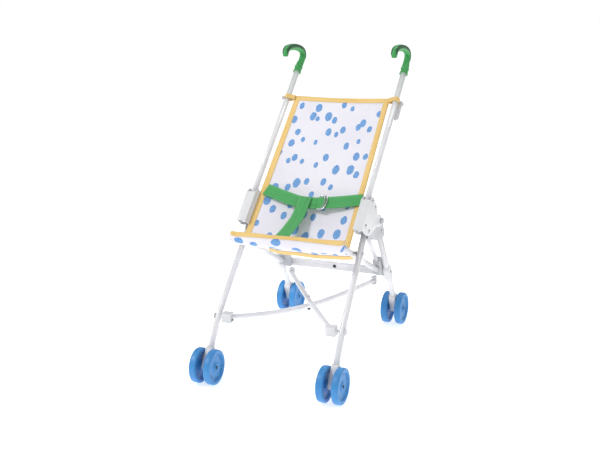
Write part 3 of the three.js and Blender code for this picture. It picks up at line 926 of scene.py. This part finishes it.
@dataclass
class Sling:
    """The fabric seat: a back panel between the push tubes, a seat panel on the rails, and bindings."""

    top_half: float = 98.0
    low_half: float = 103.0
    top_along: float = 294.0
    low_along: float = -46.0
    sag: float = 9.0
    thickness: float = 0.7
    keep: float = 0.215
    anchor: float = 104.0
    roll: tuple[tuple[float, float], ...] = (
        (105.0, 251.4), (100.6, 249.6), (97.6, 245.6), (96.8, 240.6), (98.4, 235.8), (102.6, 232.0),
        (109.0, 228.8))
    roll_length: float = 31.0
    roll_half: float = 110.0

    def back(self, u: float, v: float) -> Vector:
        """The back panel's surface: u across from left to right, v up from the seat."""
        half = self.low_half + (self.top_half - self.low_half) * v
        along = self.low_along + (self.top_along - self.low_along) * v
        w = 2 * u - 1
        hang = self.sag * (1 - w * w) * math.sin(math.pi * min(1.0, 0.15 + v * 0.85)) ** 0.8
        ripple = 0.5 * math.sin(9 * w + 5 * v) * (1 - v) + 0.35 * math.sin(14 * v + 3 * w)
        dip = -2.6 * (1 - w * w) * v ** 8
        return on_push(half * w, along + dip, 3.4 + hang + ripple * (1 - w * w))

    def seat(self, u: float, v: float) -> Vector:
        """The seat panel's surface: u across, v back from the front edge, lying over the rails."""
        w = 2 * u - 1
        half = 86.0 + 26.5 * (1 - v) ** 1.4
        x = half * w
        beyond = min(5.7, max(0.0, abs(x) - 99.5))
        rise = math.sqrt(5.8 ** 2 - beyond ** 2) - max(0.0, abs(x) - 105.2) * 0.8
        drop = 5.0 * (1 - w ** 4) * (0.3 + 0.7 * v)
        wave = 0.7 * math.sin(7 * w + 4 * v) * (1 - w * w)
        lift = rise - drop + wave
        over = max(0.0, (v - 0.92) / 0.08)
        y, z = 101.0 + 113.0 * v, 245.1 - 63.5 * v
        return at(x, y + 0.49 * lift - 3.0 * over, z + 0.871 * lift - 4.0 * over)

    def dress(self, piece: Any, thick: float) -> None:
        """Thicken a sewn piece and give it a mesh of its own."""
        thicken(piece, thick * MM)
        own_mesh(piece)

    def panel(
        self, name: str, surface: Surface, flat: tuple[float, float], body: str, node: str,
        start: tuple[float, float],
    ) -> None:
        """Args:
            name: The piece's name.
            surface: Where the cloth lies.
            flat: Its flat width and length in metres.
            body: The body it rides.
            node: The CAD node it replaces.
            start: Where its print begins.
        """
        piece = publish(name, lattice(surface, 56, 72, flat, start), Look.CLOTH, body)
        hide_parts(node)
        self.dress(piece, self.thickness)

    def binding(
        self, name: str, surface: Surface, edge: str, length: float, body: str, width: float
    ) -> None:
        """Fold a tape over one edge of a panel.

        Args:
            name: The piece's name.
            surface: The panel's surface.
            edge: "u0", "u1", "v0" or "v1".
            length: The edge's length in millimetres.
            body: The body it rides.
            width: Visible width on each face in millimetres.
        """
        across_mm = 200.0 if edge[0] == "u" else 330.0 if surface == self.back else 136.0

        def fold(a: float, b: float) -> Vector:
            """Wrap from the back face round the edge to the front face."""
            turn = 2 * a - 1
            inset = width * min(1.0, abs(turn) * 1.08) / across_mm
            near = inset if edge[1] == "0" else 1 - inset
            u, v = (near, b) if edge[0] == "u" else (b, near)
            step = 0.004
            here = surface(u, v)
            du = surface(min(1, u + step), v) - surface(max(0, u - step), v)
            dv = surface(u, min(1, v + step)) - surface(u, max(0, v - step))
            normal = du.cross(dv).normalized()
            lift = 0.95 * max(-1.0, min(1.0, turn * 5))
            outward = 0.8 * max(0.0, 1 - abs(turn) * 6)
            push = du if edge[0] == "u" else dv
            sign = -1 if edge[1] == "0" else 1
            return here + normal * (lift * MM) + push.normalized() * (sign * outward * MM)

        self.dress(publish(name, lattice(fold, 16, 72, (1.0, length * MM)), Look.BINDING, body), 0.5)

    def front_fold(
        self, name: str, look: Look, start: float, stop: float, proud: float, thick: float
    ) -> None:
        """Roll the seat's front edge over the rail ends.

        Args:
            name: The piece's name.
            look: Cloth or edge binding.
            start: Where it starts along the roll.
            stop: Where it ends.
            proud: How far it stands off the cloth in millimetres.
            thick: Its thickness in millimetres.
        """
        roll = [at(0, y, z) for y, z in self.roll]

        def fold(a: float, b: float) -> Vector:
            """Go down the roll with a and across the seat with b."""
            w = 2 * b - 1
            reach = 1 - 0.45 * max(0.0, (abs(w) - 0.9) / 0.1) ** 2
            far = stop * (0.6 + 0.4 * w * w) if look is Look.BINDING else stop
            share = (start + (far - start) * a) * reach
            here = along_line(roll, max(0.0, min(1.0, share)))
            behind = along_line(roll, max(0.0, share - 0.05))
            ahead = (along_line(roll, min(1.0, share + 0.05)) - behind).normalized()
            out = Vector((0, ahead.z, -ahead.y))
            over = ahead * (min(0.0, share) * self.roll_length * MM)
            hang = Vector((0, 0, -3.4 * MM * (1 - w ** 4) * (0.4 + 0.6 * max(0.0, share))))
            wave = 0.4 * math.sin(8 * w) * MM
            return here + over + out * (proud * MM + wave) + hang + SIDEWAYS * (self.roll_half * w * MM)

        size = (self.roll_length * MM * (stop - start), 2 * self.roll_half * MM)
        mesh = lattice(fold, 18, 72, size, (0.5, 0.2))
        self.dress(publish(name, mesh, look, "right_rail"), thick)

    def tube_loop(self, side: Side) -> None:
        """Wrap the end of the top tape round a push tube."""
        s = side.value

        def wrap(a: float, b: float) -> Vector:
            """Go round the tube, with a short tail to the panel's corner."""
            angle = 2 * math.pi * a
            centre = on_push(PUSH_X * s, self.top_along - 12 + 10.5 * b, 0)
            reach = 6.5 + 0.25 * math.sin(3 * angle)
            tail = max(0.0, -math.cos(angle)) ** 6 * 9.5
            sideways = Vector((s, 0, 0)) * ((reach * math.cos(angle) - tail) * MM)
            return centre + sideways - PUSH_FRONT * (reach * math.sin(angle) * MM)

        mesh = lattice(wrap, 40, 6, (0.6, 0.04))
        piece = publish(f"{side.word}_top_loop", mesh, Look.BINDING, f"{side.word}_side")
        thicken(piece, 0.6 * MM)

    def build(self) -> None:
        """Make both panels, their tapes and loops."""
        self.panel(
            "back_cloth", self.back, (0.202, 0.342), "right_side", "back_panel",
            (0.0, 0.0))
        self.panel(
            "seat_cloth", self.seat, (0.2, 0.132), "right_rail", "seat_panel",
            (0.31, 0.07))
        self.binding("back_left_tape", self.back, "u0", 340, "right_side", 10.5)
        self.binding("back_right_tape", self.back, "u1", 340, "right_side", 10.0)
        self.binding("back_top_tape", self.back, "v1", 196, "right_side", 10.0)
        self.front_fold("seat_front_fold", Look.CLOTH, 0.0, 1.0, 0.0, 0.6)
        self.front_fold("seat_front_tape", Look.BINDING, -0.06, 0.3, 1.1, 0.5)
        self.binding("seat_rear_tape", self.seat, "v1", 176, "right_rail", 11.0)
        for side in Side:
            self.tube_loop(side)


@dataclass
class Harness:
    """The lap belt, its crotch strap and the pair of rings."""

    sling: Sling
    width: float = 25.0
    thickness: float = 1.3
    wire: float = 1.25
    ring_radius: float = 15.0

    def ribbon(self, name: str, line: Sequence[Vector], facing: Vector, node: str) -> None:
        """Lay a strap of webbing along a line.

        Args:
            name: The piece's name.
            line: Its centre line.
            facing: The way its face looks.
            node: The CAD node it replaces.
        """
        length = sum((b - a).length for a, b in zip(line, line[1:]))

        def lay(a: float, b: float) -> Vector:
            """A point across and along the strap."""
            here = along_line(line, b)
            ahead = (along_line(line, min(1, b + 0.02)) - along_line(line, max(0, b - 0.02))).normalized()
            across = ahead.cross(facing).normalized()
            cup = -0.5 * (2 * a - 1) ** 2 * MM
            return here + across * ((a - 0.5) * self.width * MM) + facing * cup

        piece = publish(name, lattice(lay, 10, 60, (1.0, length)), Look.WEBBING, "right_side")
        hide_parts(node)
        self.sling.dress(piece, self.thickness)

    def curve(self, points: Sequence[tuple[float, float, float]]) -> list[Vector]:
        """A softened line through (x, along, across) points."""
        return rounded([on_push(*p) for p in points], 16 * MM, 5)

    def ring(self, name: str, x: float, tilt: float, node: str) -> None:
        """Bend one wire ring: straight on one side and round on the other."""
        mesh = bmesh.new()
        middle = on_push(x, 40.5, -3.4)
        side_dir = (SIDEWAYS * math.cos(tilt) + PUSH_FRONT * math.sin(tilt)).normalized()
        axis = side_dir.cross(PUSH_UP)
        made = bmesh.ops.create_circle(mesh, cap_ends=False, segments=12, radius=self.wire * MM)
        steps = 40
        ring = list(made["verts"])
        loops = [ring]
        for _ in range(steps - 1):
            edges = list({e for v in ring for e in v.link_edges if e.other_vert(v) in set(ring)})
            grown = bmesh.ops.extrude_edge_only(mesh, edges=edges)
            ring = _ordered(ring, [g for g in grown["geom"] if isinstance(g, bmesh.types.BMVert)])
            loops.append(ring)
        for index, loop in enumerate(loops):
            angle = 2 * math.pi * index / steps
            radial = side_dir * max(math.cos(angle), -0.25) * 0.62 + PUSH_UP * math.sin(angle)
            centre = middle + radial * (self.ring_radius * MM)
            outward = (side_dir * math.cos(angle) + PUSH_UP * math.sin(angle)).normalized()
            for corner, vert in enumerate(loop):
                turn = 2 * math.pi * corner / len(loop)
                vert.co = centre + (outward * math.cos(turn) + axis * math.sin(turn)) * (self.wire * MM)
        first = [e for e in mesh.edges if len(e.link_faces) < 2]
        bmesh.ops.bridge_loops(mesh, edges=first)
        bmesh.ops.recalc_face_normals(mesh, faces=mesh.faces)
        piece = publish(name, mesh, Look.STEEL, "right_side")
        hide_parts(node)
        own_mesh(piece)

    def build(self) -> None:
        """Lay the straps and hang the rings."""
        left = self.curve([(-92, 65, 2.2), (-60, 54, 1.2), (-16, 40, -1.0), (28, 39.5, -1.5)])
        self.ribbon("left_belt", left, PUSH_FRONT, "left_lap_strap")
        right = self.curve([(22, 39.5, -4.2), (45, 42, -3.2), (80, 50, -1.0), (104, 56.5, 1.0)])
        self.ribbon("right_belt", right, PUSH_FRONT, "right_lap_strap")
        crotch = rounded([
            at(-14, 101, 246.5), at(-11, 132, 254.0), at(-7, 172, 268.0), on_push(-5, 36, -5.4),
            on_push(-5, 50, -4.2)], 12 * MM, 5)
        self.ribbon("crotch_belt", crotch, Vector((0, -0.45, 0.89)).normalized(), "crotch_strap")
        self.ring("ring_left", 26, 0.10, "belt_ring_inner")
        self.ring("ring_right", 31, 0.28, "belt_ring_outer")


@dataclass
class Studio:
    """Pale floor, soft light and the camera."""

    eye: tuple[float, float, float] = (658.6, -1362.0, 756.4)
    yaw: float = 0.4073
    pitch: float = 0.2927
    roll: float = -0.0386
    lens: float = 57.4
    ambient: float = 0.42

    def camera(self) -> None:
        """Place the camera."""
        ahead = Vector((
            -math.sin(self.yaw) * math.cos(self.pitch), math.cos(self.yaw) * math.cos(self.pitch),
            -math.sin(self.pitch)))
        level = Vector((math.cos(self.yaw), math.sin(self.yaw), 0))
        up = level.cross(ahead)
        right = level * math.cos(self.roll) + up * math.sin(self.roll)
        top = up * math.cos(self.roll) - level * math.sin(self.roll)
        lens = bpy.data.cameras.new("camera")
        lens.lens, lens.sensor_width = self.lens, 36.0
        lens.clip_end = 30
        holder = bpy.data.objects.new("camera", lens)
        bpy.context.scene.collection.objects.link(holder)
        turn = Matrix((right, top, -ahead)).transposed().to_4x4()
        holder.matrix_world = Matrix.Translation(at(*self.eye)) @ turn
        bpy.context.scene.camera = holder

    def light(self, name: str, place: Point, size: float, power: float) -> None:
        """Add one soft area light aimed at the stroller."""
        lamp = bpy.data.lights.new(name, "AREA")
        lamp.shape, lamp.size, lamp.energy = "DISK", size, power
        holder = bpy.data.objects.new(name, lamp)
        bpy.context.scene.collection.objects.link(holder)
        aim = Vector((0, 0, 0.25)) - Vector(place)
        holder.matrix_world = Matrix.Translation(place) @ aim.to_track_quat("-Z", "Y").to_matrix().to_4x4()

    def build(self) -> None:
        """Set the stage."""
        mesh = bmesh.new()
        bmesh.ops.create_grid(mesh, x_segments=1, y_segments=1, size=9.0)
        floor = publish("studio_floor", mesh, Look.FLOOR, None, False)
        world = bpy.data.worlds.new("studio")
        world.use_nodes = True
        tree = world.node_tree
        tree.nodes["Background"].inputs[0].default_value = (1.0, 1.0, 1.0, 1.0)
        seen = tree.nodes.new("ShaderNodeLightPath")
        strength = tree.nodes.new("ShaderNodeMath")
        strength.operation = "MULTIPLY_ADD"
        strength.inputs[1].default_value, strength.inputs[2].default_value = 1 - self.ambient, self.ambient
        tree.links.new(seen.outputs["Is Camera Ray"], strength.inputs[0])
        tree.links.new(strength.outputs[0], tree.nodes["Background"].inputs[1])
        bpy.context.scene.world = world
        bpy.context.scene.view_settings.view_transform = "Standard"
        self.light("key", (-1.5, -1.3, 2.4), 0.8, 38)
        self.light("fill", (2.2, -1.2, 1.0), 1.6, 8)
        self.light("top", (0.4, 1.4, 2.6), 1.4, 22)
        self.camera()


def main() -> None:
    """Build the stroller's visible pieces in order."""
    logging.basicConfig(level=logging.INFO, format="%(message)s")
    Tubes().build()
    Mouldings().build()
    for side in Side:
        Grip(side).build()
        for end in ("front", "rear"):
            for place in ("inner", "outer"):
                Wheel(f"{side.word}_{end}_wheel_{place}").build()
    sling = Sling()
    sling.build()
    Harness(sling).build()
    Studio().build()


if __name__ == "__main__":
    main()
